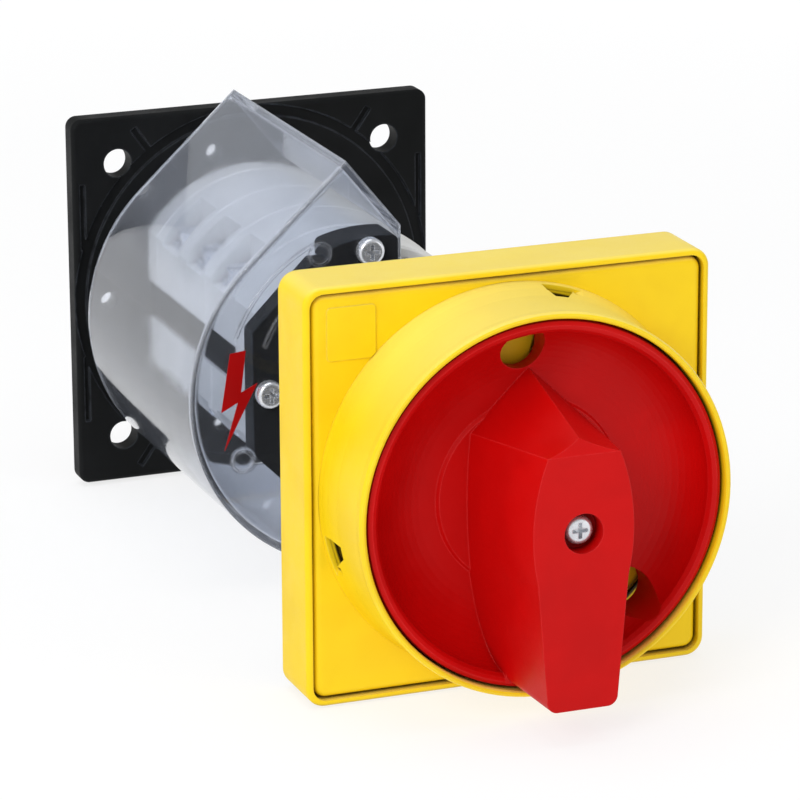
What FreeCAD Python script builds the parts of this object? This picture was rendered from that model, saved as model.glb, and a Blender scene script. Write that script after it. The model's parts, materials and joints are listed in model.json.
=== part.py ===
"""Rotary isolator switch with a base-mounted body, a clear terminal cover and a padlockable door front.

Frame: millimetres, +X right, +Z up, front towards -Y. The origin is the centre of the base plate's
rear face. "Depth" is the distance in front of that face, so a point at depth d has y = -d.
"""
import FreeCAD, Part
import math
import os

V = FreeCAD.Vector

# ---------------------------------------------------------------- driving dimensions
PLATE = 88.6                 # side of the base plate
PLATE_THICK = 5.0
HOLE_PITCH = 66.5            # fixing holes of the base plate and of the front frame
FIXING_R = 3.4

REAR_HOUSING = (5.0, 12.0)   # depths of the rear bearing housing
STAGE_COUNT = 3
STAGE_PITCH = 17.5
STAGE_START = REAR_HOUSING[1]
BODY_R = 29.8
BODY_SIDE = 25.4             # distance from the axis to the left and right flats
SIDE_GROOVE = (-4.9, 3.9)    # lower and upper edge of the groove along each side flat
STRIP_FACE = 24.6            # outer face of the strip that closes the groove
ROOM_END = 23.4              # outer wall of the contact rooms
WEB = 2.5                    # floor of each contact stage
STAGE_MID = 9.5              # middle plane of the contacts, from the back of their stage
BARRIER = (4.0, 15.0)        # terminal pocket, from the back of its stage
CAM_ROOM_R = 12.2
HUB_R = 7.2
SHAFT = 8.0                  # side of the square shaft
FIT = 0.08                   # radial clearance of a running fit
JOURNAL_R = 4.8

CAM_HIGH = 11.15             # cam radius that holds a contact open
TRAVEL = 2.55                # opening distance of a contact
PLUNGER_GAP = 0.15           # between a cam and its plunger
NOSE_R = 1.6
BRIDGE = (18.0, 19.6)        # moving bridge, from the axis
STRIP_X = (12.6, 13.8)       # fixed contact leg, from the axis
STRIP_Z = (13.4, 14.6)       # fixed contact bar, above or below the axis
TERMINAL_X = 19.6
CONTACT_WIDTH = 8.0

STACK_END = STAGE_START + STAGE_COUNT * STAGE_PITCH
DETENT_ROOM = (74.0, 80.5)
DETENT_END = 82.5            # front of the detent housing
CARRIER_END = 88.0           # front of the black cover carrier
COVER_END = 90.0             # front of the clear cover
BOSS_END = 92.0              # front bearing boss
TIE_AT = (8.0, 22.0)

COVER_START = 15.0
COVER_WALL = 1.5
COVER_R = 41.2
COVER_CENTRE = (-3.2, -1.1)
COVER_ROOF_SLOPE = 0.93      # rise of the roof's left side
COVER_APEX_X = -7.8
COVER_EDGE = 4.8             # the cover stops at this x
COVER_ROOF_END = 35.4        # height of the roof's right end
COVER_SCREWS = ((-2.6, 30.3), (-26.4, 0.2), (-2.6, -30.3))
LUG_R = 33.1                 # crown of the carrier's upper and lower lugs
LUG_BACK = 78.0

SPINDLE_END = 106.5
SLEEVE = (97.0, 117.0)
ROD = (107.5, 169.0)

GASKET = (148.0, 149.5)
FRAME = (149.5, 164.6)
FRAME_SIDE = 89.6
FRAME_WALL = 1.35
INSERT = (155.2, 164.2)
INSERT_GAP = 0.45
COLLAR_FRONT = 185.7
COLLAR_R = 40.8
COLLAR_BORE = 39.35
LOCK_WEB = (166.0, 169.0)
SLOTS = ((75.4, 1), (195.6, -1), (315.5, -1))   # angle of each shackle slot and its hand
HANDLE_R = 39.0
DISH_BACK = 171.0
DISH_FLOOR = 174.3
DISH_RIM = 184.7
HANDLE_HUB_R = 9.0
PADLOCK_HOLES = ((93.8, 31.4), (312.6, 32.0))   # angle and distance from the axis
PADLOCK_R = 4.8
GRIP_FACE = 203.5
GRIP_SHOULDER = 16.4
CREST_SLOPE = 1.14           # fall of the facet above the grip's shoulder
SCREW_SEAT = 199.2


# ---------------------------------------------------------------- shapes
def disc(radius, near, far, x=0.0, z=0.0):
    """Cylinder along the main axis between two depths."""
    return Part.makeCylinder(radius, far - near, V(x, -near, z), V(0, -1, 0))


def ring(outer, inner, near, far, x=0.0, z=0.0):
    return disc(outer, near, far, x, z).cut(disc(inner, near - 1, far + 1, x, z))


def block(x_span, depth_span, z_span):
    """Box from three spans; the middle one is a span of depths."""
    size = [abs(b - a) for a, b in (x_span, depth_span, z_span)]
    corner = V(min(x_span), -max(depth_span), min(z_span))
    return Part.makeBox(size[0], size[1], size[2], corner)


def rod_x(radius, start, end, depth, z):
    """Cylinder along X."""
    return Part.makeCylinder(radius, abs(end - start), V(min(start, end), -depth, z), V(1, 0, 0))


def rod_z(radius, start, end, x, depth):
    """Cylinder along Z."""
    return Part.makeCylinder(radius, abs(end - start), V(x, -depth, min(start, end)), V(0, 0, 1))


def prism(points, near, far):
    """Straight-sided outline of (x, z) points, extruded between two depths."""
    corners = [V(x, -near, z) for x, z in points]
    face = Part.Face(Part.makePolygon(corners + corners[:1]))
    return face.extrude(V(0, near - far, 0))


def turned(points):
    """Solid of revolution about the main axis from (radius, depth) points."""
    corners = [V(r, -d, 0) for r, d in points]
    face = Part.Face(Part.makePolygon(corners + corners[:1]))
    return face.revolve(V(0, 0, 0), V(0, 1, 0), 360)


def along_depth(edge):
    ends = [v.Point for v in edge.Vertexes]
    return len(ends) == 2 and abs(ends[0].x - ends[1].x) < 1e-6 and abs(ends[0].z - ends[1].z) < 1e-6


def at_depth(edge, depth):
    return all(abs(v.Point.y + depth) < 1e-6 for v in edge.Vertexes)


def plate(side, near, far, corner):
    """Square plate with rounded corners."""
    half = side / 2
    solid = block((-half, half), (near, far), (-half, half))
    return solid.makeFillet(corner, [e for e in solid.Edges if along_depth(e)])


def turned_about(shape, degrees):
    copy = shape.copy()
    copy.rotate(V(0, 0, 0), V(0, -1, 0), degrees)
    return copy


def joined(shapes):
    first = shapes[0]
    return first.fuse(shapes[1:]).removeSplitter() if len(shapes) > 1 else first


def mirrored(shape):
    return shape.mirror(V(0, 0, 0), V(1, 0, 0))


def coil(radius, wire, length, turns):
    """Helical spring along +X from the origin, built as a chain of eight-sided sections."""
    steps = round(turns * 16)
    rise = length - wire
    lean = math.atan2(rise / (2 * math.pi * turns), radius)
    sections = []
    for index in range(steps + 1):
        angle = 2 * math.pi * turns * index / steps
        outward = V(0, math.cos(angle), math.sin(angle))
        across = V(math.cos(lean), math.sin(lean) * math.sin(angle), -math.sin(lean) * math.cos(angle))
        middle = V(wire / 2 + rise * index / steps, 0, 0) + outward * radius
        corners = []
        for corner in range(8):
            share_out, share_across = polar(corner * 45.0, wire / 2)
            corners.append(middle + outward * share_out + across * share_across)
        sections.append(Part.makePolygon(corners + corners[:1]))
    return Part.makeLoft(sections, True, True)


def polar(degrees, radius):
    return radius * math.cos(math.radians(degrees)), radius * math.sin(math.radians(degrees))


def cross_slot(head, half_length, width, depth):
    """Cross recess in a head that faces -Y; head is (x, z, front depth)."""
    x, z, front = head
    upright = block((x - width / 2, x + width / 2), (front - depth, front + 1), (z - half_length, z + half_length))
    flat = block((x - half_length, x + half_length), (front - depth, front + 1), (z - width / 2, z + width / 2))
    return upright.fuse(flat)


def pan_screw(x, z, seat, head_r, head_height, shank_r, shank_length):
    """Pan-head screw whose head sits on the seat depth and points to -Y."""
    head = disc(head_r, seat, seat + head_height, x, z)
    rims = [e for e in head.Edges if at_depth(e, seat + head_height)]
    head = head.makeFillet(head_height * 0.45, rims)
    shank = disc(shank_r, seat - shank_length, seat, x, z)
    recess = cross_slot((x, z, seat + head_height), head_r * 0.55, head_r * 0.26, head_height * 0.6)
    return head.fuse(shank).cut(recess)


# ---------------------------------------------------------------- base
def base_plate():
    body = plate(PLATE, 0.0, PLATE_THICK, 2.5)
    body = body.makeFillet(1.0, [e for e in body.Edges if at_depth(e, PLATE_THICK)])
    half = HOLE_PITCH / 2
    for x in (-half, half):
        for z in (-half, half):
            body = body.cut(disc(FIXING_R, -1, PLATE_THICK + 1, x, z))
            tie_x = math.copysign(TIE_AT[0], x)
            tie_z = math.copysign(TIE_AT[1], z)
            body = body.cut(disc(2.0, 1.5, PLATE_THICK + 1, tie_x, tie_z))
    for x, z in ((-35.2, 0), (35.2, 0), (-8.8, 33), (8.8, 33), (-8.8, -33), (8.8, -33)):
        body = body.cut(disc(1.9, -1, PLATE_THICK + 1, x, z))
    engraved = (PLATE_THICK - 0.8, PLATE_THICK + 1)
    body = body.cut(ring(44.2, 41.6, *engraved))
    spoke = block((43.0, 50.5), engraved, (-0.8, 0.8))
    for side in (-1, 1):
        for angle in (90 - 35.5 * side, 270 - 35.5 * side):
            body = body.cut(turned_about(spoke, angle))
        for level in (-1, 1):
            groove = block((side * 41.4, side * 42.6), engraved, (level * 13.0, level * 28.8))
            body = body.cut(groove)
    return body.removeSplitter()


def body_outline(radius, side, near, far):
    """Disc with flat left and right sides, the outline shared by every cell of the switch body."""
    body = disc(radius, near, far)
    return body.common(block((-side, side), (near, far), (-radius, radius)))


def side_grooves(near, far):
    """Grooves along both side flats, as deep as the walls of the contact rooms."""
    left = block((-BODY_SIDE - 1, -ROOM_END), (near, far), SIDE_GROOVE)
    return left.fuse(mirrored(left))


def rear_housing():
    near, far = REAR_HOUSING
    body = body_outline(BODY_R, BODY_SIDE, near, far)
    body = body.cut(side_grooves(near - 1, far + 1))
    body = body.makeChamfer(0.5, [e for e in body.Edges if at_depth(e, far)])
    body = body.cut(body_outline(BODY_R - 2.4, ROOM_END - 0.6, near - 1, far - 2.5))
    body = body.fuse(disc(10.5, near, far - 1))
    for x in (-TIE_AT[0], TIE_AT[0]):
        for z in (-TIE_AT[1], TIE_AT[1]):
            body = body.fuse(disc(4.5, near, far - 1, x, z))
    for x in (-TIE_AT[0], TIE_AT[0]):
        for z in (-TIE_AT[1], TIE_AT[1]):
            body = body.cut(disc(2.0, near - 1, far + 1, x, z))
    body = body.cut(disc(7.0, near - 1, far - 1.5))
    return body.cut(disc(HUB_R + FIT, far - 1.5, far + 1)).removeSplitter()


def side_strips():
    """Black strips that close the grooves and carry the contact springs."""
    span = (REAR_HOUSING[0], STACK_END)
    left = block((-STRIP_FACE, -ROOM_END), span, SIDE_GROOVE)
    return Part.makeCompound([left, mirrored(left)])


def rear_bush():
    near, far = REAR_HOUSING
    return ring(7.0, JOURNAL_R + FIT, near + 0.4, far - 1.8)


# ---------------------------------------------------------------- contact stages
def stage_housing(back):
    """Cell of the switch body: floor, cam room, contact rooms and four open terminal pockets."""
    front = back + STAGE_PITCH
    body = body_outline(BODY_R, BODY_SIDE, back, front)
    body = body.cut(side_grooves(back - 1, front + 1))
    outline = [e for e in body.Edges if at_depth(e, front) or at_depth(e, back)]
    body = body.makeChamfer(0.5, outline)
    body = body.cut(disc(CAM_ROOM_R, back + WEB, front + 1))
    body = body.cut(disc(HUB_R + FIT, back - 1, front + 1))
    near, far = back + BARRIER[0], back + BARRIER[1]
    strip = (back + STAGE_MID - CONTACT_WIDTH / 2, back + STAGE_MID + CONTACT_WIDTH / 2)
    for side in (-1, 1):
        body = body.cut(block((side * 9.0, side * ROOM_END), (back + WEB, front + 1), (-12.6, 12.6)))
        for level in (-1, 1):
            rib = block((side * 12.35, side * 15.2), (back + WEB, front - 1), (level * 3.15, level * 5.15))
            body = body.fuse(rib)
            pocket = block((side * 15.8, side * 40), (near, far), (level * STRIP_Z[1], level * 40))
            body = body.cut(pocket)
            slot = block((side * STRIP_X[0], side * ROOM_END), strip, (level * 12.0, level * STRIP_Z[1]))
            body = body.cut(slot)
            body = body.cut(rod_z(2.0, level * 12.0, level * 20, side * TERMINAL_X, back + STAGE_MID))
    for x in (-TIE_AT[0], TIE_AT[0]):
        for z in (-TIE_AT[1], TIE_AT[1]):
            body = body.cut(disc(2.0, back - 1, front + 1, x, z))
    return body.removeSplitter()


def fixed_contact(back, side, level):
    """Bent copper strip with its silver tip kept apart; the bar carries the terminal screw."""
    span = (back + STAGE_MID - CONTACT_WIDTH / 2, back + STAGE_MID + CONTACT_WIDTH / 2)
    leg = block((side * STRIP_X[0], side * STRIP_X[1]), span, (level * 7.0, level * STRIP_Z[1]))
    bar = block((side * STRIP_X[0], side * ROOM_END), span, (level * STRIP_Z[0], level * STRIP_Z[1]))
    hole = rod_z(2.0, level * 12.0, level * 16.0, side * TERMINAL_X, back + STAGE_MID)
    return leg.fuse(bar).cut(hole).removeSplitter()


def fixed_tip(back, side, level):
    depth = back + STAGE_MID
    return rod_x(2.1, side * STRIP_X[1], side * (STRIP_X[1] + 0.8), depth, level * 9.3)


def terminal_screw(back, side, level):
    depth = back + STAGE_MID
    x = side * TERMINAL_X
    head = rod_z(3.6, level * 16.0, level * 19.2, x, depth)
    shank = rod_z(2.0, level * 12.4, level * 16.0, x, depth)
    slot = block((x - 3.7, x + 3.7), (depth - 0.5, depth + 0.5), (level * 17.8, level * 20))
    return head.fuse(shank).cut(slot)


def terminal_clamp(back, side, level):
    """Square saddle washer under the head of a terminal screw."""
    depth = back + STAGE_MID
    x = side * TERMINAL_X
    half = 3.8
    saddle = block((x - half, x + half), (depth - half, depth + half), (level * STRIP_Z[1], level * 16.0))
    return saddle.cut(rod_z(2.0, level * 14.0, level * 17.0, x, depth))


def contact_plunger(back, side):
    """Nylon follower with a rounded nose, a square shank and a spigot for bridge and spring."""
    depth = back + STAGE_MID
    tip = CAM_HIGH + PLUNGER_GAP
    half = CONTACT_WIDTH / 2
    nose = disc(NOSE_R, depth - half, depth + half, side * (tip + NOSE_R), 0)
    neck = block((side * (tip + NOSE_R), side * 14.5), (depth - half, depth + half), (-NOSE_R, NOSE_R))
    shank = block((side * 14.0, side * BRIDGE[0]), (depth - half, depth + half), (-3.0, 3.0))
    spigot = rod_x(1.8, side * BRIDGE[0], side * 22.0, depth, 0)
    return joined([nose, neck, shank, spigot])


def contact_bridge(back, side):
    depth = back + STAGE_MID
    half = 3.5
    bar = block((side * BRIDGE[0], side * BRIDGE[1]), (depth - half, depth + half), (-11.5, 11.5))
    return bar.cut(rod_x(1.8, side * 17, side * 21, depth, 0))


def bridge_tips(back, side):
    depth = back + STAGE_MID
    tips = [rod_x(2.1, side * (BRIDGE[0] - 0.8), side * BRIDGE[0], depth, z) for z in (-9.3, 9.3)]
    return Part.makeCompound(tips)


def contact_spring(back, side):
    spring = coil(2.75, 0.6, ROOM_END - BRIDGE[1], 2.5)
    spring.translate(V(BRIDGE[1], 0, 0))
    if side < 0:
        spring = mirrored(spring)
    spring.translate(V(0, -(back + STAGE_MID), 0))
    return spring


# ---------------------------------------------------------------- rotor
def cam_radius(degrees):
    """Radius against the angle from +X towards +Z, alike on both sides of the shaft."""
    angle = degrees % 180.0
    low = CAM_HIGH - TRAVEL
    if angle <= 90.0:
        return CAM_HIGH - TRAVEL * angle / 90.0
    if angle <= 108.0:
        return low
    if angle >= 162.0:
        return CAM_HIGH
    share = (angle - 108.0) / 54.0
    return low + TRAVEL * (1 - math.cos(math.pi * share)) / 2


def square_bore(near, far, side=SHAFT):
    return block((-side / 2, side / 2), (near, far), (-side / 2, side / 2))


def cam(back):
    step = 6
    points = [polar(a, cam_radius(a)) for a in range(0, 360, step)]
    near = back + STAGE_MID - CONTACT_WIDTH / 2
    lobe = prism(points, near, near + CONTACT_WIDTH)
    body = disc(HUB_R, back, back + STAGE_PITCH).fuse(lobe)
    return body.cut(square_bore(back - 1, back + STAGE_PITCH + 1)).removeSplitter()


def spindle():
    middle = REAR_HOUSING[1] - 1.6
    journal = disc(JOURNAL_R, PLATE_THICK + 0.8, middle)
    square = square_bore(middle, SPINDLE_END)
    return journal.fuse(square)


def star_wheel():
    """Four-notched detent wheel with the hub that turns in the front bearing."""
    near, far = DETENT_ROOM[0] + 0.3, DETENT_ROOM[1] - 0.3
    body = disc(11.0, near, far)
    for turn in (0, 90, 180, 270):
        x, z = polar(turn, 12.2)
        body = body.cut(disc(2.8, near - 1, far + 1, x, z))
    body = body.fuse(disc(HUB_R, STACK_END, near))
    body = body.fuse(disc(HUB_R + 0.8, far, BOSS_END + 1.0))
    return body.cut(square_bore(STACK_END - 1, BOSS_END + 2)).removeSplitter()


def shaft_sleeve():
    body = disc(9.0, *SLEEVE)
    body = body.makeChamfer(0.8, [e for e in body.Edges if at_depth(e, SLEEVE[0]) or at_depth(e, SLEEVE[1])])
    body = body.cut(square_bore(SLEEVE[0] - 1, SLEEVE[1] + 1))
    for depth in (102.0, 112.0):
        body = body.cut(rod_z(2.0, 3.0, 10.0, 0, depth))
    return body


def sleeve_screws():
    screws = []
    for depth in (102.0, 112.0):
        screw = rod_z(2.0, SHAFT / 2, 8.6, 0, depth)
        screws.append(screw.cut(rod_z(1.0, 6.8, 9.0, 0, depth)))
    return Part.makeCompound(screws)


def extension_shaft():
    return square_bore(*ROD)


# ---------------------------------------------------------------- detent and cover carrier
def detent_housing():
    near, far = STACK_END, DETENT_END
    body = body_outline(29.5, BODY_SIDE, near, far)
    body = body.makeChamfer(0.6, [e for e in body.Edges if at_depth(e, far)])
    body = body.fuse(disc(12.5, far - 0.5, BOSS_END))
    body = body.cut(disc(12.0, *DETENT_ROOM))
    body = body.cut(disc(HUB_R + FIT, near - 1, DETENT_ROOM[0] + 1))
    body = body.cut(disc(8.0 + FIT, DETENT_ROOM[0], BOSS_END + 1))
    body = body.cut(block((-23.6, 23.6), DETENT_ROOM, (-2.9, 2.9)))
    for x in (-TIE_AT[0], TIE_AT[0]):
        for z in (-TIE_AT[1], TIE_AT[1]):
            body = body.cut(disc(2.0, near - 1, far + 1, x, z))
            body = body.cut(disc(3.7, far - 3.2, far + 1, x, z))
    for z in (-17.0, 17.0):
        body = body.cut(disc(1.5, far - 7, far + 1, -17.0, z))
    return body


def detent_rollers():
    near, far = DETENT_ROOM
    return Part.makeCompound([disc(2.4, near + 0.5, far - 0.5, side * 13.8, 0) for side in (-1, 1)])


def detent_springs():
    springs = []
    for side in (-1, 1):
        spring = coil(1.9, 0.7, 7.2, 5)
        spring.translate(V(16.3, 0, 0))
        spring = mirrored(spring) if side < 0 else spring
        spring.translate(V(0, -sum(DETENT_ROOM) / 2, 0))
        springs.append(spring)
    return Part.makeCompound(springs)


def tie_bolts():
    bolts = []
    for x in (-TIE_AT[0], TIE_AT[0]):
        for z in (-TIE_AT[1], TIE_AT[1]):
            shank = disc(2.0, 1.5, DETENT_END - 3.2, x, z)
            head = disc(3.6, DETENT_END - 3.2, DETENT_END - 0.2, x, z)
            recess = cross_slot((x, z, DETENT_END - 0.2), 2.0, 0.9, 1.6)
            bolts.append(shank.fuse(head).cut(recess))
    return Part.makeCompound(bolts)


def cover_carrier():
    """Black half flange that carries the clear cover on the left of the switch body."""
    near, far = DETENT_END, CARRIER_END
    left, slope, top = 29.5, 14.0, 28.6
    corner = left - (top - slope)
    outline = [(COVER_EDGE - 0.1, top), (-corner, top), (-left, slope), (-left, -slope), (-corner, -top),
               (COVER_EDGE - 0.1, -top)]
    body = prism(outline, near, far)
    arch = disc(LUG_R, LUG_BACK, far)
    for level in (-1, 1):
        lug = block((-11.2, COVER_EDGE - 0.1), (LUG_BACK, far), (level * 24.0, level * 39))
        body = body.fuse(arch.common(lug))
    body = body.makeFillet(1.4, [e for e in body.Edges if along_depth(e) and abs(e.Vertexes[0].Point.z) > 31])
    body = body.cut(disc(29.9, LUG_BACK - 1, near))
    body = body.cut(disc(12.5, near - 1, far + 1))
    for x, z in COVER_SCREWS:
        body = body.cut(disc(1.5, near, far + 1, x, z))
    for z in (-17.0, 17.0):
        body = body.cut(disc(1.5, near - 1, far + 1, -17.0, z))
        body = body.cut(disc(3.2, far - 2.6, far + 1, -17.0, z))
    return body.removeSplitter()


def carrier_screws():
    screws = [pan_screw(-17.0, z, CARRIER_END - 2.6, 3.1, 2.2, 1.5, 8.0) for z in (-17.0, 17.0)]
    return Part.makeCompound(screws)


def cover_outline(inset, extra):
    """Closed outline of the cover: round on the left, a pitched roof above, open to the right."""
    cx, cz = COVER_CENTRE
    radius = COVER_R - inset
    edge = COVER_EDGE + extra
    foot = cz - math.sqrt(radius ** 2 - (COVER_EDGE - cx) ** 2)
    lean = math.atan(COVER_ROOF_SLOPE)
    shoulder = (cx - radius * math.sin(lean), cz + radius * math.cos(lean))
    left_at_zero = shoulder[1] - COVER_ROOF_SLOPE * shoulder[0]
    apex_z = left_at_zero + COVER_ROOF_SLOPE * COVER_APEX_X + inset / math.cos(lean)
    fall = (apex_z - COVER_ROOF_END) / (COVER_EDGE - COVER_APEX_X)
    right_at_zero = apex_z + fall * COVER_APEX_X - inset * math.sqrt(1 + fall ** 2)
    peak_x = (right_at_zero - left_at_zero) / (COVER_ROOF_SLOPE + fall)
    peak = (peak_x, left_at_zero + COVER_ROOF_SLOPE * peak_x)
    roof_end = (edge, right_at_zero - fall * edge)
    start = V(COVER_EDGE, 0, foot)
    left = V(cx - radius, 0, cz)
    round_side = Part.Arc(start, V(cx - radius * math.sin(1.0), 0, cz - radius * math.cos(1.0)), left)
    upper_side = Part.Arc(left, V(cx - radius * math.cos(0.4), 0, cz + radius * math.sin(0.4)),
                          V(shoulder[0], 0, shoulder[1]))
    corners = [shoulder, peak, roof_end, (edge, foot)]
    lines = [Part.makeLine(V(a[0], 0, a[1]), V(b[0], 0, b[1])) for a, b in zip(corners, corners[1:])]
    if extra > 0:
        lines.append(Part.makeLine(V(edge, 0, foot), start))
    edges = [round_side.toShape(), upper_side.toShape()] + lines
    return Part.Face(Part.Wire(Part.__sortEdges__(edges)))


def cover_solid(inset, extra, near, far):
    face = cover_outline(inset, extra)
    face.translate(V(0, -near, 0))
    return face.extrude(V(0, near - far, 0))


def terminal_cover():
    """Clear shell, open at the back and on the right."""
    body = cover_solid(0.0, 0.0, COVER_START, COVER_END)
    body = body.cut(cover_solid(COVER_WALL, 10.0, COVER_START - 1, CARRIER_END))
    body = body.cut(disc(13.4, CARRIER_END - 1, COVER_END + 1))
    for x, z in COVER_SCREWS:
        body = body.cut(disc(1.8, CARRIER_END - 1, COVER_END + 1, x, z))
    for x, z in ((-14.1, 30.6), (-32.4, -14.5)):
        body = body.fuse(ring(2.6, 2.2, COVER_END - 0.2, COVER_END + 0.25, x, z))
    sector = prism([(0, 0), polar(116, 60), polar(158, 60)], COVER_END - 0.2, COVER_END + 0.3)
    for radius in (29.2, 36.4):
        body = body.fuse(ring(radius + 0.35, radius - 0.35, COVER_END - 0.2, COVER_END + 0.25).common(sector))
    return body


def cover_screws():
    screws = [pan_screw(x, z, COVER_END, 3.1, 2.3, 1.5, 7.0) for x, z in COVER_SCREWS]
    return Part.makeCompound(screws)


def flash_mark():
    """Plain bolt shape on the front of the cover."""
    outline = [(-31.6, 10.6), (-35.2, 10.2), (-37.4, -3.0), (-33.5, -1.0), (-36.8, -11.8), (-29.0, 2.9),
               (-32.8, 1.1)]
    return prism(outline, COVER_END, COVER_END + 0.25)


# ---------------------------------------------------------------- door front
def front_gasket():
    """Flat rubber sheet between the door and the frame."""
    body = plate(86.0, GASKET[0], GASKET[1], 4.0)
    body = body.cut(disc(15.0, GASKET[0] - 1, GASKET[1] + 1))
    half = HOLE_PITCH / 2
    for x in (-half, half):
        for z in (-half, half):
            body = body.cut(disc(2.5, GASKET[0] - 1, GASKET[1] + 1, x, z))
    return body


def front_frame():
    """Tray that holds the insert; its floor has the central opening and four door fixing holes."""
    near, far = FRAME
    body = plate(FRAME_SIDE, near, far, 4.0)
    body = body.makeFillet(1.1, [e for e in body.Edges if at_depth(e, far)])
    room = FRAME_SIDE - 2 * FRAME_WALL
    body = body.cut(plate(room, INSERT[0], far + 1, 3.0))
    body = body.cut(disc(15.0, near - 1, far + 1))
    half = HOLE_PITCH / 2
    for x in (-half, half):
        for z in (-half, half):
            body = body.cut(disc(2.25, near - 1, far + 1, x, z))
    return body


def front_insert():
    """Square face plate with a stiffening rim, a blank label pad and the handle's bearing."""
    near, far = INSERT
    side = FRAME_SIDE - 2 * FRAME_WALL - 2 * INSERT_GAP
    body = plate(side, near, far, 2.6)
    body = body.makeFillet(1.6, [e for e in body.Edges if at_depth(e, far)])
    body = body.cut(plate(side - 5.0, near - 1, far - 3.0, 1.5))
    bearing = disc(16.5, 158.5, far - 1.0)
    body = body.fuse(bearing)
    body = body.cut(disc(HANDLE_HUB_R + FIT, near - 1, far + 1))
    pad = block((-39.8, -29.2), (far - 0.5, far + 0.3), (29.2, 40.4))
    pad = pad.makeFillet(0.9, [e for e in pad.Edges if along_depth(e)])
    body = body.fuse(pad.cut(disc(42.0, far - 1, far + 1)))
    body = body.cut(lock_windows(38.8, near - 1, far + 1))
    return body.removeSplitter()


def lock_collar():
    """Round wall around the handle with a locking web and three shackle slots at its foot."""
    foot = INSERT[1]
    profile = [(COLLAR_BORE, foot), (41.9, foot), (41.5, foot + 1.0), (41.1, foot + 3.2), (40.7, foot + 7.5),
               (40.6, COLLAR_FRONT - 3.0), (COLLAR_R, COLLAR_FRONT - 1.0), (40.5, COLLAR_FRONT - 0.2),
               (40.1, COLLAR_FRONT), (COLLAR_BORE + 0.25, COLLAR_FRONT - 0.15), (COLLAR_BORE, COLLAR_FRONT - 0.6)]
    body = turned(profile)
    body = body.fuse(ring(COLLAR_BORE + 0.4, 24.0, *LOCK_WEB))
    body = body.fuse(ring(26.0, 24.0, foot, LOCK_WEB[1]))
    for angle, hand in SLOTS:
        body = body.cut(turned_about(shackle_slot(hand), angle))
    return body.cut(lock_windows(40.5, LOCK_WEB[0] - 1, LOCK_WEB[1] + 1)).removeSplitter()


def lock_windows(reach, near, far):
    """Shackle windows beside and behind each slot; the outermost ones end at the radius given."""
    windows = []
    for angle, hand in SLOTS:
        for span, half, turn in (((27.3, 32.6), 4.6, 0.0), ((31.5, 36.7), 4.2, 23.1), ((36.2, reach), 4.6, 0.0)):
            windows.append(turned_about(block(span, (near, far), (-half, half)), angle + turn))
    return joined(windows)


def shackle_slot(hand):
    """Slot through the foot of the collar, straight at one end, slanted and ramped out at the other."""
    low, high = INSERT[1] + 0.9, INSERT[1] + 7.6
    outline = [(3.8, low), (3.2, high), (0.4, high), (-3.8, low)]
    corners = [V(37.0, -d, hand * across) for across, d in outline]
    through = Part.Face(Part.makePolygon(corners + corners[:1])).extrude(V(8, 0, 0))
    outline = [(44.0, -2.8), (39.9, -2.8), (42.7, -8.4), (44.0, -8.4)]
    corners = [V(x, -low, hand * across) for x, across in outline]
    ramp = Part.Face(Part.makePolygon(corners + corners[:1])).extrude(V(0, -3.0, 0))
    return through.fuse(ramp)


def hub_seal():
    """Rubber ring between the collar's foot and the handle's hub."""
    return ring(12.0, HANDLE_HUB_R + 0.35, INSERT[1], INSERT[1] + 2.0)


# ---------------------------------------------------------------- handle
def grip_section(depth, points):
    """Closed outline of half the grip, mirrored: crest, shoulder, bulged side, heel."""
    crest, shoulder, bulge, waist, heel = points

    def at(point, side):
        return V(side * point[0], -depth, point[1])

    edges = [Part.makeLine(at(crest, 1), at(shoulder, -1)),
             Part.Arc(at(shoulder, -1), at(bulge, -1), at(waist, -1)).toShape(),
             Part.makeLine(at(waist, -1), at(heel, -1)),
             Part.makeLine(at(heel, -1), at(heel, 1)),
             Part.makeLine(at(heel, 1), at(waist, 1)),
             Part.Arc(at(waist, 1), at(bulge, 1), at(shoulder, 1)).toShape(),
             Part.makeLine(at(shoulder, 1), at(crest, 1))]
    return Part.Wire(edges)


def grip():
    foot = grip_section(173.0, [(0, 27.0), (13.2, 14.0), (13.8, -1.0), (13.0, -16.0), (9.4, -36.8)])
    face = grip_section(GRIP_FACE, [(0, 18.2), (7.8, GRIP_SHOULDER), (10.8, 3.0), (9.8, -9.7), (7.5, -37.3)])
    body = Part.makeLoft([foot, face], True, True)
    heels = [e for e in body.Edges if all(v.Point.z < -30 for v in e.Vertexes) and len(e.Vertexes) == 2
             and abs(e.Vertexes[0].Point.y - e.Vertexes[1].Point.y) > 5]
    body = body.makeFillet(2.2, heels)
    tip = 30.0
    fall = CREST_SLOPE * (tip - GRIP_SHOULDER)
    facet = [V(0, -GRIP_FACE, GRIP_SHOULDER), V(0, -GRIP_FACE - 6, GRIP_SHOULDER), V(0, -GRIP_FACE - 6, tip),
             V(0, fall - GRIP_FACE, tip)]
    wedge = Part.Face(Part.makePolygon(facet + facet[:1])).extrude(V(40, 0, 0))
    wedge.translate(V(-20, 0, 0))
    return body.cut(wedge)


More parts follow.
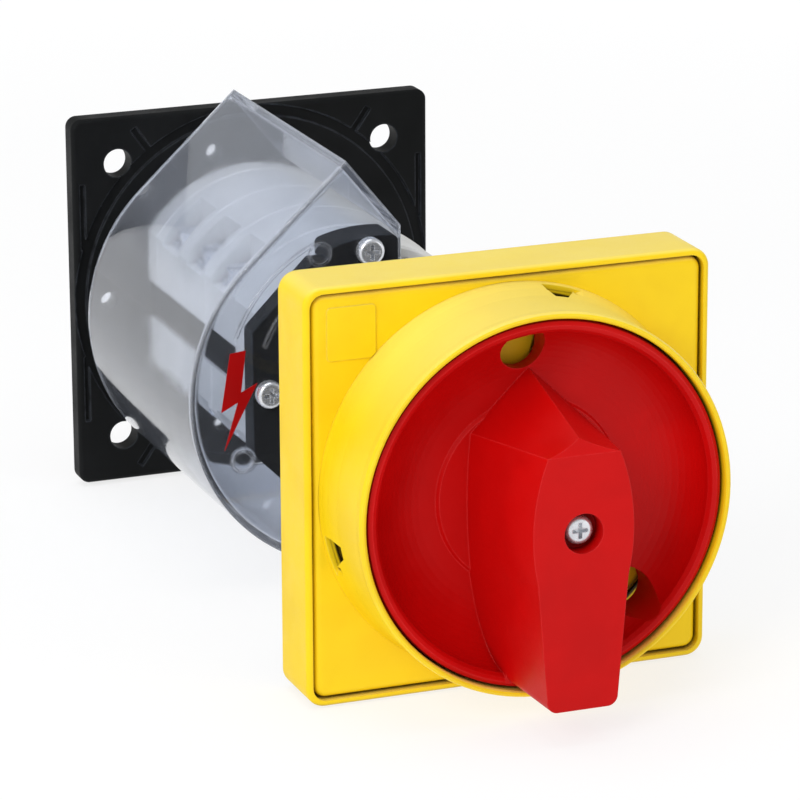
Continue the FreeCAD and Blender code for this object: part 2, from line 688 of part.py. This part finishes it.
def handle():
    """Round dish with a concave wall and a raised wedge grip across it."""
    profile = [(0, DISH_BACK), (HANDLE_R - 0.6, DISH_BACK), (HANDLE_R, DISH_BACK + 0.6), (HANDLE_R, DISH_RIM - 1.4),
               (HANDLE_R - 0.35, DISH_RIM - 0.4), (HANDLE_R - 1.2, DISH_RIM), (HANDLE_R - 2.0, DISH_RIM - 0.3),
               (HANDLE_R - 2.7, DISH_RIM - 1.2)]
    wall = 12
    reach = HANDLE_R - 2.7 - 24.0
    drop = DISH_RIM - 1.2 - DISH_FLOOR
    for step in range(1, wall + 1):
        angle = math.pi / 2 * step / wall
        profile.append((24.0 + reach * math.cos(angle), DISH_FLOOR + drop * (1 - math.sin(angle))))
    profile += [(20.3, DISH_FLOOR), (19.7, DISH_FLOOR + 0.7), (0, DISH_FLOOR + 0.7)]
    body = turned(profile)
    for angle, distance in PADLOCK_HOLES:
        x, z = polar(angle, distance)
        body = body.cut(disc(PADLOCK_R, DISH_BACK - 1, DISH_RIM + 2, x, z))
    body = body.fuse(grip())
    body = body.fuse(block((-9.0, -8.1), (DISH_FLOOR, DISH_RIM), (-37.2, -34.4)))
    body = body.fuse(disc(HANDLE_HUB_R, 158.5, DISH_BACK + 1))
    body = body.cut(disc(6.6, 150, 186.0))
    body = body.cut(disc(2.1, 180, GRIP_FACE))
    return body.cut(disc(4.2, SCREW_SEAT, GRIP_FACE + 1)).removeSplitter()


def handle_coupler():
    """Black driver: flange behind the bearing, square socket for the shaft, stem in the handle."""
    body = disc(13.0, 154.6, 158.2).fuse(disc(6.6, 158.2, 186.0))
    body = body.cut(square_bore(150.0, 172.0, SHAFT + 0.5))
    return body.cut(disc(2.0, 174.0, 187.0)).removeSplitter()


def handle_screw():
    return pan_screw(0, 0, SCREW_SEAT, 3.0, 2.4, 2.0, 20.0)


# ---------------------------------------------------------------- every node
def group(maker):
    """Solids of one kind from every stage, side and level in one node."""
    shapes = [maker(back, side, level) for back in stage_backs() for side in (-1, 1) for level in (-1, 1)]
    return Part.makeCompound(shapes)


def stage_backs():
    return [STAGE_START + index * STAGE_PITCH for index in range(STAGE_COUNT)]


def all_nodes():
    nodes = {
        "base_plate": base_plate(),
        "rear_housing": rear_housing(),
        "rear_bush": rear_bush(),
        "side_strips": side_strips(),
        "fixed_contacts": group(fixed_contact),
        "fixed_contact_tips": group(fixed_tip),
        "terminal_screws": group(terminal_screw),
        "terminal_clamps": group(terminal_clamp),
        "spindle": spindle(),
        "star_wheel": star_wheel(),
        "shaft_sleeve": shaft_sleeve(),
        "sleeve_screws": sleeve_screws(),
        "extension_shaft": extension_shaft(),
        "detent_housing": detent_housing(),
        "detent_rollers": detent_rollers(),
        "detent_springs": detent_springs(),
        "tie_bolts": tie_bolts(),
        "cover_carrier": cover_carrier(),
        "carrier_screws": carrier_screws(),
        "terminal_cover": terminal_cover(),
        "cover_screws": cover_screws(),
        "flash_mark": flash_mark(),
        "front_gasket": front_gasket(),
        "front_frame": front_frame(),
        "front_insert": front_insert(),
        "lock_collar": lock_collar(),
        "hub_seal": hub_seal(),
        "handle": handle(),
        "handle_coupler": handle_coupler(),
        "handle_screw": handle_screw(),
    }
    for number, back in enumerate(stage_backs(), start=1):
        nodes["contact_stage_%d" % number] = stage_housing(back)
        nodes["cam_%d" % number] = cam(back)
        for side, name in ((-1, "left"), (1, "right")):
            tail = "%d_%s" % (number, name)
            nodes["contact_plunger_" + tail] = contact_plunger(back, side)
            nodes["contact_bridge_" + tail] = contact_bridge(back, side)
            nodes["bridge_tips_" + tail] = bridge_tips(back, side)
            nodes["contact_spring_" + tail] = contact_spring(back, side)
    return nodes


os.makedirs("parts", exist_ok=True)
for name, shape in all_nodes().items():
    sound = shape.isValid() and all(s.Volume > 0 for s in shape.Solids) and shape.Solids
    if not sound:
        print("unsound:", name, shape.isValid(), len(shape.Solids))
    shape.exportStep("parts/%s.step" % name)
    print("%-28s solids %2d volume %9.1f" % (name, len(shape.Solids), shape.Volume))
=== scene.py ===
"""Looks of the rotary isolator switch: camera, light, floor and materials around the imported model."""
import bpy
import json
import math
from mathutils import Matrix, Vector


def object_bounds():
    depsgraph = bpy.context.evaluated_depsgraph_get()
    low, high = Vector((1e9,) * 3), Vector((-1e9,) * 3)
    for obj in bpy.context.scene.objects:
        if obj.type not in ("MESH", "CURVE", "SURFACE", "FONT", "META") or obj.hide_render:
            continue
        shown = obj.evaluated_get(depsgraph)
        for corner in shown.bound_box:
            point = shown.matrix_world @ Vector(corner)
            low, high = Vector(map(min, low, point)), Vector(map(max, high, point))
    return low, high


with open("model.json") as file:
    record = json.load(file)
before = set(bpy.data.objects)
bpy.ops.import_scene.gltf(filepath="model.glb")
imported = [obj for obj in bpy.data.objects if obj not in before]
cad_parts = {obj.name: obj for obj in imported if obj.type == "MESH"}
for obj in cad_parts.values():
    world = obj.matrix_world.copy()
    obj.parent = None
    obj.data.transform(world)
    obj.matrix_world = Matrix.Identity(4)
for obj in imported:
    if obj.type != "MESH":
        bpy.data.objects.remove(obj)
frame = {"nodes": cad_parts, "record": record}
CAD_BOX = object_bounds()

# camera: direction and tilt in degrees, lens and sensor in millimetres, the rest in metres
CAMERA_AZIMUTH = -21.0
CAMERA_ELEVATION = 16.95
CAMERA_ROLL = -0.26
CAMERA_DISTANCE = 1.0114
CAMERA_LENS = 200.88
CAMERA_SENSOR = 36.0
CAMERA_REACH = (0.02, 30.0)
AIM_DEPTH = 0.06406       # depth of the point aimed at, along the shaft
AIM_RIGHT = 0.0135        # how far the aim is moved across the picture
AIM_DOWN = 0.0112         # and down it

# shackle slots of the collar: inner and outer radius and depth of the band of painted shade inside them
SLOT_SHADE = (0.0365, 0.0401, 0.1735)

# floor and surroundings
FLOOR_HALF = 12.0
FLOOR_GAP = 0.0004        # below the part's lowest point
FLOOR_FADE = (0.12, 1.0)  # distances between which the floor turns into plain white light
FLOOR_GLOW = 1.06
HORIZON_HEIGHTS = (0.12, 0.30)
SKY_STRENGTHS = (1.06, 0.44)   # at the horizon and higher up


# ---------------------------------------------------------------- camera
def directions(azimuth, elevation):
    """Unit vectors from the aim back to the camera, to the right and up the picture."""
    a, e = math.radians(azimuth), math.radians(elevation)
    back = Vector((math.sin(a) * math.cos(e), -math.cos(a) * math.cos(e), math.sin(e)))
    right = Vector((math.cos(a), math.sin(a), 0))
    return back, right, back.cross(right)


def make_camera():
    back, right, up = directions(CAMERA_AZIMUTH, CAMERA_ELEVATION)
    target = Vector((0, -AIM_DEPTH, 0)) + right * AIM_RIGHT - up * AIM_DOWN
    data = bpy.data.cameras.new("camera")
    data.lens = CAMERA_LENS
    data.sensor_width = CAMERA_SENSOR
    data.clip_start, data.clip_end = CAMERA_REACH
    camera = bpy.data.objects.new("camera", data)
    camera.location = target + back * CAMERA_DISTANCE
    turn = back.to_track_quat("Z", "Y").to_euler()
    turn.rotate_axis("Z", math.radians(CAMERA_ROLL))
    camera.rotation_euler = turn
    bpy.context.scene.collection.objects.link(camera)
    bpy.context.scene.camera = camera


# ---------------------------------------------------------------- shader building
class Look:
    """One Principled material and short calls for the nodes that feed it."""

    def __init__(self, name, **sockets):
        self.material = bpy.data.materials.new(name)
        self.material.use_nodes = True
        self.tree = self.material.node_tree
        self.tree.nodes.clear()
        self.output = self.add("ShaderNodeOutputMaterial")
        self.shader = self.add("ShaderNodeBsdfPrincipled")
        self.join(self.shader.outputs["BSDF"], self.output.inputs["Surface"])
        for socket, value in sockets.items():
            self.shader.inputs[socket.replace("_", " ")].default_value = value
        self.place = self.add("ShaderNodeTexCoord").outputs["Object"]

    def add(self, kind, **settings):
        node = self.tree.nodes.new(kind)
        for key, value in settings.items():
            setattr(node, key, value)
        return node

    def join(self, start, end):
        self.tree.links.new(start, end)

    def feed(self, socket, value):
        if hasattr(value, "is_linked"):
            self.join(value, socket)
        else:
            socket.default_value = value

    def noise(self, scale, detail=2.0, rough=0.5, stretch=None, warp=0.0):
        """Noise in the part's own coordinates, 0 to 1; the scale is in waves per metre."""
        node = self.add("ShaderNodeTexNoise")
        node.inputs["Scale"].default_value = scale
        node.inputs["Detail"].default_value = detail
        node.inputs["Roughness"].default_value = rough
        node.inputs["Distortion"].default_value = warp
        place = self.place
        if stretch:
            mapping = self.add("ShaderNodeMapping")
            mapping.inputs["Scale"].default_value = stretch
            self.join(place, mapping.inputs["Vector"])
            place = mapping.outputs["Vector"]
        self.join(place, node.inputs["Vector"])
        return node.outputs["Fac"]

    def upward(self):
        """1 on faces that look straight up, 0 on upright ones and on those that look down."""
        split = self.add("ShaderNodeSeparateXYZ")
        self.join(self.add("ShaderNodeNewGeometry").outputs["Normal"], split.inputs["Vector"])
        return self.span(split.outputs["Z"], 0.35, 0.98)

    def span(self, value, low, high, to_low=0.0, to_high=1.0):
        """Smooth step from to_low at low to to_high at high."""
        node = self.add("ShaderNodeMapRange", interpolation_type="SMOOTHSTEP")
        self.feed(node.inputs["Value"], value)
        for key, amount in (("From Min", low), ("From Max", high), ("To Min", to_low), ("To Max", to_high)):
            node.inputs[key].default_value = amount
        return node.outputs["Result"]

    def maths(self, kind, first, second):
        node = self.add("ShaderNodeMath", operation=kind)
        self.feed(node.inputs[0], first)
        self.feed(node.inputs[1], second)
        return node.outputs[0]

    def blend(self, share, first, second):
        """First colour where the share is 0, second where it is 1."""
        node = self.add("ShaderNodeMix", data_type="RGBA", blend_type="MIX")
        self.feed(node.inputs[0], share)
        self.feed(node.inputs[6], first)
        self.feed(node.inputs[7], second)
        return node.outputs[2]

    def bump(self, height, distance, strength=1.0, normal=None):
        node = self.add("ShaderNodeBump")
        node.inputs["Strength"].default_value = strength
        node.inputs["Distance"].default_value = distance
        self.join(height, node.inputs["Height"])
        if normal is not None:
            self.join(normal, node.inputs["Normal"])
        return node.outputs["Normal"]

    def edges(self, radius, samples=4):
        """Softened normal, and a mask that is 1 along sharp edges."""
        soft = self.add("ShaderNodeBevel", samples=samples)
        soft.inputs["Radius"].default_value = radius
        flat = self.add("ShaderNodeNewGeometry").outputs["Normal"]
        dot = self.add("ShaderNodeVectorMath", operation="DOT_PRODUCT")
        self.join(soft.outputs["Normal"], dot.inputs[0])
        self.join(flat, dot.inputs[1])
        return soft.outputs["Normal"], self.span(dot.outputs["Value"], 0.90, 0.995, 1.0, 0.0)

    def recess(self, reach):
        """1 deep inside slots and narrow gaps, 0 on open faces."""
        node = self.add("ShaderNodeAmbientOcclusion", samples=6)
        node.inputs["Distance"].default_value = reach
        return self.span(node.outputs["AO"], 0.05, 0.45, 1.0, 0.0)

    def band(self, inner, outer, depth):
        """1 between two radii around the shaft's axis and behind the depth, 0 elsewhere."""
        split = self.add("ShaderNodeSeparateXYZ")
        self.join(self.place, split.inputs["Vector"])
        across = self.maths("MULTIPLY", split.outputs["X"], split.outputs["X"])
        upright = self.maths("MULTIPLY", split.outputs["Z"], split.outputs["Z"])
        square = self.maths("ADD", across, upright)
        near = self.span(square, (outer - 0.0004) ** 2, outer ** 2, 1.0, 0.0)
        between = self.maths("MULTIPLY", near, self.span(square, (inner - 0.0015) ** 2, inner ** 2))
        return self.maths("MULTIPLY", between, self.span(split.outputs["Y"], -depth - 0.0005, -depth))

    def paint(self, colour, rough, normal):
        self.join(colour, self.shader.inputs["Base Color"])
        self.join(rough, self.shader.inputs["Roughness"])
        self.join(normal, self.shader.inputs["Normal"])
        return self.material


def rgb(red, green, blue):
    return (red, green, blue, 1.0)


def plastic(name, body, shade, edge, rough, grain, depth, edge_share=0.6, radius=0.00035, top_highlight=None,
            recess_shade=None, slots=None, **sockets):
    """Moulded plastic: tone drift, fine spark-eroded grain, faint flow waves and brighter corners from wear
    and a painted edge highlight.

    The upward-face colour and its share paint a highlight on faces that look up, the recess colour and
    share paint shade into narrow recesses, and the slot radii and depth give a nearly black band of painted
    shade inside the collar's slots.
    """
    k = Look(name, **sockets)
    drift = k.span(k.noise(38, 3, 0.55, warp=0.4), 0.36, 0.66)
    fine = k.noise(grain, 2, 0.6)
    colour = k.blend(drift, rgb(*body), rgb(*shade))
    colour = k.blend(k.span(fine, 0.55, 0.8, 0.0, 0.35), colour, rgb(*shade))
    # painted highlight: upward faces blended towards a paler colour, as if lit by the overhead softbox
    if top_highlight:
        colour = k.blend(k.maths("MULTIPLY", k.upward(), top_highlight[3]), colour, rgb(*top_highlight[:3]))
    soft, mask = k.edges(radius)
    # edge wear and painted edge highlight: brighter colour along sharp edges
    wear_and_highlight = k.maths("MULTIPLY", mask, k.span(k.noise(420, 3, 0.6), 0.30, 0.62, 0.25, edge_share))
    colour = k.blend(wear_and_highlight, colour, rgb(*edge))
    # painted shade: colour darkened in narrow recesses and gaps by an ambient occlusion mask
    if recess_shade:
        colour = k.blend(k.maths("MULTIPLY", k.recess(0.006), recess_shade[3]), colour, rgb(*recess_shade[:3]))
    # painted shade: nearly black band inside the collar's shackle slots, where little light reaches
    if slots:
        colour = k.blend(k.maths("MULTIPLY", k.band(*slots), 0.97), colour, rgb(0.012, 0.005, 0.001))
    sheen = k.maths("ADD", k.span(k.noise(95, 4, 0.6), 0.3, 0.7, rough - 0.05, rough + 0.06),
                    k.span(fine, 0.3, 0.7, -0.03, 0.04))
    waves = k.bump(k.noise(160, 2, 0.5), depth * 2.2, 0.5, soft)
    return k.paint(colour, sheen, k.bump(fine, depth, 0.7, waves))


def metal(name, body, shade, rough, stretch, metallic=0.9):
    """Bare or plated metal: drawn lines, mottling, small stains and bright corners from wear and a painted
    edge highlight.
    """
    k = Look(name, Metallic=metallic)
    mottle = k.span(k.noise(260, 4, 0.65, warp=0.6), 0.34, 0.68)
    lines = k.noise(1500, 3, 0.6, stretch=stretch)
    colour = k.blend(mottle, rgb(*body), rgb(*shade))
    colour = k.blend(k.span(lines, 0.5, 0.8, 0.0, 0.4), colour, rgb(*shade))
    soft, mask = k.edges(0.0002)
    # edge wear and painted edge highlight: brighter colour along sharp edges
    bright = [min(1.0, value * 1.18) for value in body]
    colour = k.blend(k.maths("MULTIPLY", mask, 0.7), colour, rgb(*bright))
    sheen = k.maths("ADD", k.span(mottle, 0.0, 1.0, rough - 0.03, rough + 0.05),
                    k.span(lines, 0.3, 0.8, -0.03, 0.05))
    return k.paint(colour, sheen, k.bump(lines, 0.00001, 0.5, soft))


def clear_plastic():
    """Smoky clear polycarbonate; light passes straight through it for shadows."""
    k = Look("clear_polycarbonate", IOR=1.43)
    drift = k.span(k.noise(32, 3, 0.5, warp=0.5), 0.35, 0.68)
    colour = k.blend(drift, rgb(0.74, 0.775, 0.85), rgb(0.68, 0.72, 0.80))
    sheen = k.span(k.noise(140, 3, 0.6), 0.3, 0.7, 0.03, 0.08)
    soft, mask = k.edges(0.0012, 6)
    # painted highlight: pale bluish edges standing in for light caught in the walls' edges
    colour = k.blend(k.maths("MULTIPLY", mask, 0.6), colour, rgb(0.90, 0.93, 1.0))
    # painted highlight: edges and upward faces made less clear, so they show more of the pale body colour
    clear = k.maths("SUBTRACT", k.span(mask, 0.0, 1.0, 0.975, 0.75), k.maths("MULTIPLY", k.upward(), 0.10))
    k.join(clear, k.shader.inputs["Transmission Weight"])
    waves = k.bump(k.noise(60, 2, 0.5), 0.00012, 0.35, soft)
    k.paint(colour, sheen, waves)
    straight = k.add("ShaderNodeBsdfTransparent")
    straight.inputs["Color"].default_value = rgb(0.81, 0.83, 0.88)
    mix = k.add("ShaderNodeMixShader")
    k.join(k.add("ShaderNodeLightPath").outputs["Is Shadow Ray"], mix.inputs[0])
    k.join(k.shader.outputs["BSDF"], mix.inputs[1])
    k.join(straight.outputs["BSDF"], mix.inputs[2])
    k.join(mix.outputs["Shader"], k.output.inputs["Surface"])
    return k.material


def yellow_plastic(name, **more):
    return plastic(name, (0.93, 0.655, 0.006), (0.88, 0.60, 0.005), (0.97, 0.78, 0.10), 0.45, 2600,
                   0.000022, top_highlight=(0.97, 0.86, 0.30, 0.42), recess_shade=(0.05, 0.022, 0.0, 0.5),
                   Specular_IOR_Level=0.24, **more)


def make_looks():
    yellow = yellow_plastic("yellow_moulding")
    red = plastic("red_moulding", (0.57, 0.002, 0.002), (0.50, 0.0015, 0.0015), (0.80, 0.04, 0.04),
                  0.42, 3000, 0.000016, recess_shade=(0.10, 0.0, 0.0, 0.8), Specular_IOR_Level=0.13)
    black = plastic("black_moulding", (0.0055, 0.006, 0.0062), (0.008, 0.0085, 0.009),
                    (0.06, 0.066, 0.078), 0.5, 2400, 0.000025, edge_share=0.85, radius=0.0006,
                    Specular_IOR_Level=0.07)
    cream = plastic("cream_thermoset", (0.74, 0.735, 0.71), (0.64, 0.635, 0.61), (0.90, 0.895, 0.88),
                    0.5, 2200, 0.00002, recess_shade=(0.10, 0.10, 0.11, 0.8), Specular_IOR_Level=0.3)
    nylon = plastic("brown_glass_nylon", (0.085, 0.042, 0.020), (0.13, 0.075, 0.042),
                    (0.20, 0.13, 0.08), 0.45, 1800, 0.00002)
    rubber = plastic("black_rubber", (0.018, 0.018, 0.019), (0.028, 0.028, 0.028),
                     (0.05, 0.05, 0.05), 0.75, 1500, 0.00004, edge_share=0.4)
    flash = plastic("printed_red", (0.42, 0.001, 0.001), (0.37, 0.001, 0.001), (0.50, 0.01, 0.01),
                    0.45, 5000, 0.000008, radius=0.0001, Specular_IOR_Level=0.15)
    zinc = metal("bright_zinc", (0.78, 0.80, 0.84), (0.64, 0.66, 0.70), 0.26, (1, 1, 6), metallic=0.75)
    dark_steel = metal("blackened_steel", (0.06, 0.06, 0.065), (0.035, 0.035, 0.04), 0.42, (1, 6, 1))
    shaft = metal("drawn_steel", (0.56, 0.57, 0.58), (0.50, 0.51, 0.53), 0.36, (6, 0.35, 6))
    spring = metal("spring_wire", (0.62, 0.63, 0.65), (0.46, 0.47, 0.50), 0.22, (4, 4, 4))
    brass = metal("turned_brass", (0.78, 0.58, 0.25), (0.66, 0.46, 0.17), 0.28, (1, 8, 1))
    copper = metal("rolled_copper", (0.80, 0.41, 0.25), (0.62, 0.29, 0.17), 0.34, (1, 1, 8))
    silver = metal("silver_alloy", (0.86, 0.85, 0.82), (0.70, 0.69, 0.67), 0.30, (3, 3, 3))
    return {"yellow_plastic": yellow, "red_plastic": red, "black_plastic": black, "cream_plastic": cream,
            "brown_nylon": nylon, "rubber_seal": rubber, "flash_red": flash, "zinc_steel": zinc,
            "black_steel": dark_steel, "steel_shaft": shaft, "spring_steel": spring, "brass": brass,
            "copper": copper, "silver_contact": silver, "clear_plastic": clear_plastic()}


def dress(node, material):
    mesh = frame["nodes"][node].data
    mesh.materials.clear()
    mesh.materials.append(material)


def dress_nodes():
    looks = make_looks()
    for part in frame["record"]["subparts"]:
        dress(part["node"], looks[part["material_slot"]])
    dress("lock_collar", yellow_plastic("yellow_collar", slots=SLOT_SHADE))


# ---------------------------------------------------------------- stage and light
def make_floor():
    """Pale floor that fades into the surrounding white, and lets a view from below through."""
    level = CAD_BOX[0].z - FLOOR_GAP
    mesh = bpy.data.meshes.new("floor")
    corners = [(x * FLOOR_HALF, y * FLOOR_HALF, level) for x, y in ((-1, -1), (1, -1), (1, 1), (-1, 1))]
    mesh.from_pydata(corners, [], [(0, 1, 2, 3)])
    k = Look("pale_floor", Specular_IOR_Level=0.15)
    grain = k.noise(900, 3, 0.6)
    tone = k.blend(k.span(k.noise(5, 3, 0.5), 0.3, 0.7), rgb(0.90, 0.90, 0.90), rgb(0.88, 0.88, 0.885))
    k.paint(tone, k.span(grain, 0.3, 0.7, 0.62, 0.72), k.bump(grain, 0.00003, 0.3))
    glow = k.add("ShaderNodeEmission")
    glow.inputs["Color"].default_value = rgb(1.0, 1.0, 1.0)
    glow.inputs["Strength"].default_value = FLOOR_GLOW
    length = k.add("ShaderNodeVectorMath", operation="LENGTH")
    k.join(k.place, length.inputs[0])
    fade = k.add("ShaderNodeMixShader")
    k.join(k.span(length.outputs["Value"], *FLOOR_FADE, 0.72, 1.0), fade.inputs[0])
    k.join(k.shader.outputs["BSDF"], fade.inputs[1])
    k.join(glow.outputs["Emission"], fade.inputs[2])
    under = k.add("ShaderNodeMixShader")
    k.join(k.add("ShaderNodeNewGeometry").outputs["Backfacing"], under.inputs[0])
    k.join(fade.outputs["Shader"], under.inputs[1])
    k.join(k.add("ShaderNodeBsdfTransparent").outputs["BSDF"], under.inputs[2])
    k.join(under.outputs["Shader"], k.output.inputs["Surface"])
    mesh.materials.append(k.material)
    floor = bpy.data.objects.new("floor", mesh)
    bpy.context.scene.collection.objects.link(floor)


def softbox(name, place, aim, width, height, power, tint=(1.0, 1.0, 1.0)):
    data = bpy.data.lights.new(name, "AREA")
    data.shape = "RECTANGLE"
    data.size = width
    data.size_y = height
    data.energy = power
    data.color = tint
    lamp = bpy.data.objects.new(name, data)
    lamp.location = place
    lamp.rotation_euler = (Vector(place) - Vector(aim)).to_track_quat("Z", "Y").to_euler()
    bpy.context.scene.collection.objects.link(lamp)


def make_sky():
    """Even surroundings that are white at the horizon and dimmer above it."""
    world = bpy.data.worlds.new("studio")
    bpy.context.scene.world = world
    world.use_nodes = True
    tree = world.node_tree
    sky = tree.nodes["Background"]
    sky.inputs["Color"].default_value = rgb(0.99, 0.995, 1.0)
    place = tree.nodes.new("ShaderNodeTexCoord")
    split = tree.nodes.new("ShaderNodeSeparateXYZ")
    fade = tree.nodes.new("ShaderNodeMapRange")
    fade.interpolation_type = "SMOOTHSTEP"
    for key, amounts in (("From", HORIZON_HEIGHTS), ("To", SKY_STRENGTHS)):
        fade.inputs[key + " Min"].default_value = amounts[0]
        fade.inputs[key + " Max"].default_value = amounts[1]
    tree.links.new(place.outputs["Generated"], split.inputs["Vector"])
    tree.links.new(split.outputs["Z"], fade.inputs["Value"])
    tree.links.new(fade.outputs["Result"], sky.inputs["Strength"])


def make_lamps():
    """Large key at the left, weak fill at the right and a cool softbox overhead."""
    middle = (0, -0.09, 0)
    softbox("key_box", (-1.05, -1.05, 0.90), middle, 0.7, 0.8, 12.2)
    softbox("fill_box", (1.15, -0.95, 0.45), middle, 0.7, 0.9, 1.3)
    softbox("top_box", (-0.15, -0.12, 1.35), middle, 0.9, 0.9, 6.6, (0.95, 0.97, 1.0))


make_camera()
dress_nodes()
make_floor()
make_sky()
make_lamps()
bpy.context.scene.view_settings.view_transform = "Standard"
